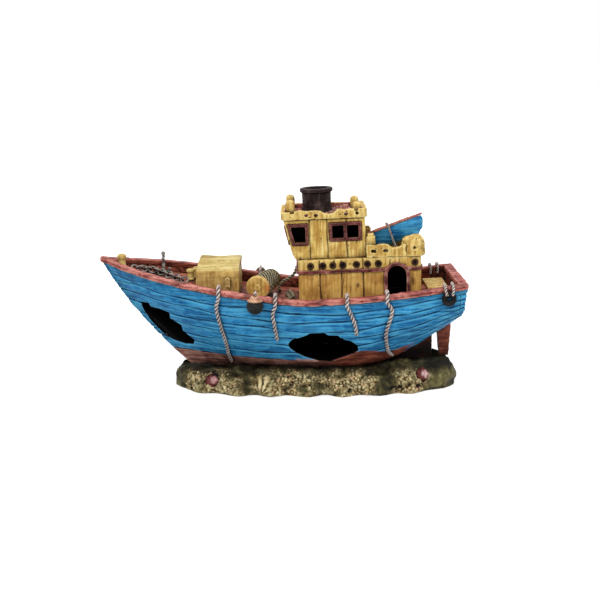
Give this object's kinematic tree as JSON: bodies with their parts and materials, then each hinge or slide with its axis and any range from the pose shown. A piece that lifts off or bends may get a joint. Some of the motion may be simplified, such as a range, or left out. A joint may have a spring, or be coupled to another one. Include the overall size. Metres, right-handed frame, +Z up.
{
  "type": "aquarium bubbling ornament",
  "caption": "Wrecked fishing trawler on a rocky base: an air-driven aquarium ornament with a breached hull, hollow houses that bubbles rise through, and a spigot for an air hose.",
  "frame": {"origin": "on the underside of the rocky base, below the middle line of the ship, near midships", "axes": "+X along the ship from bow to stern, +Y to starboard (the back of the ornament), +Z up"},
  "size_m": [0.2321, 0.1036, 0.1294],
  "materials": {
    "rock": "hand-painted cast resin, matt with a slight wet sheen",
    "shell_pink": "hand-painted cast resin, matt with a slight wet sheen",
    "bottom_red": "hand-painted cast resin, matt with a slight wet sheen",
    "hull_blue": "hand-painted cast resin, matt with a slight wet sheen",
    "rail_red": "hand-painted cast resin, matt with a slight wet sheen",
    "deck_brown": "hand-painted cast resin, matt with a slight wet sheen",
    "house_yellow": "hand-painted cast resin, matt with a slight wet sheen",
    "hatch_cream": "hand-painted cast resin, matt with a slight wet sheen",
    "fitting_tan": "hand-painted cast resin, matt with a slight wet sheen",
    "iron_grey": "hand-painted cast resin, matt with a slight wet sheen",
    "dark_rope": "hand-painted cast resin, matt with a slight wet sheen",
    "pale_rope": "hand-painted cast resin, matt with a slight wet sheen",
    "fender_dark": "hand-painted cast resin, matt with a slight wet sheen",
    "funnel_brown": "hand-painted cast resin, matt with a slight wet sheen",
    "air_plastic": "smooth moulded plastic",
    "air_stone_grey": "porous, matt"
  },
  "bodies": {
    "root": {"rock_base": "rock", "shells": "shell_pink", "keel": "bottom_red", "skeg": "bottom_red", "stern_post": "bottom_red", "stem": "hull_blue", "planking_port": "hull_blue", "planking_starboard": "hull_blue", "transom": "hull_blue", "gunwale_port": "rail_red", "gunwale_starboard": "rail_red", "gunwale_stern": "rail_red", "deck": "deck_brown", "bulwark_ribs": "rail_red", "bow_post": "house_yellow", "bollards": "house_yellow", "anchor": "iron_grey", "anchor_chain": "iron_grey", "cargo_hatch": "hatch_cream", "hatch_cleats": "fitting_tan", "winch_drum": "deck_brown", "winch_cheeks": "house_yellow", "winch_rope": "dark_rope", "trawl_warps": "dark_rope", "stern_bench": "house_yellow", "deckhouse": "house_yellow", "belt_moulding": "rail_red", "porthole_rims": "funnel_brown", "door_trims": "rail_red", "boat_deck_parapet": "house_yellow", "parapet_turrets": "house_yellow", "parapet_posts": "house_yellow", "wheelhouse": "house_yellow", "side_window_frames": "rail_red", "front_window_frame": "rail_red", "roof": "rail_red", "roof_parapet": "house_yellow", "roof_posts": "house_yellow", "funnel": "funnel_brown", "dinghy": "hull_blue", "dinghy_rail": "rail_red", "dinghy_thwarts": "fitting_tan", "dinghy_lashing": "pale_rope", "rope_fore": "pale_rope", "rope_mid_fore": "pale_rope", "rope_mid_aft": "pale_rope", "rope_aft": "pale_rope", "ball_fenders": "fender_dark", "tyre_fenders": "fender_dark", "fender_lashings": "pale_rope", "air_inlet": "air_plastic", "air_tube": "air_plastic", "air_stone": "air_stone_grey"}
  },
  "joints": []
}
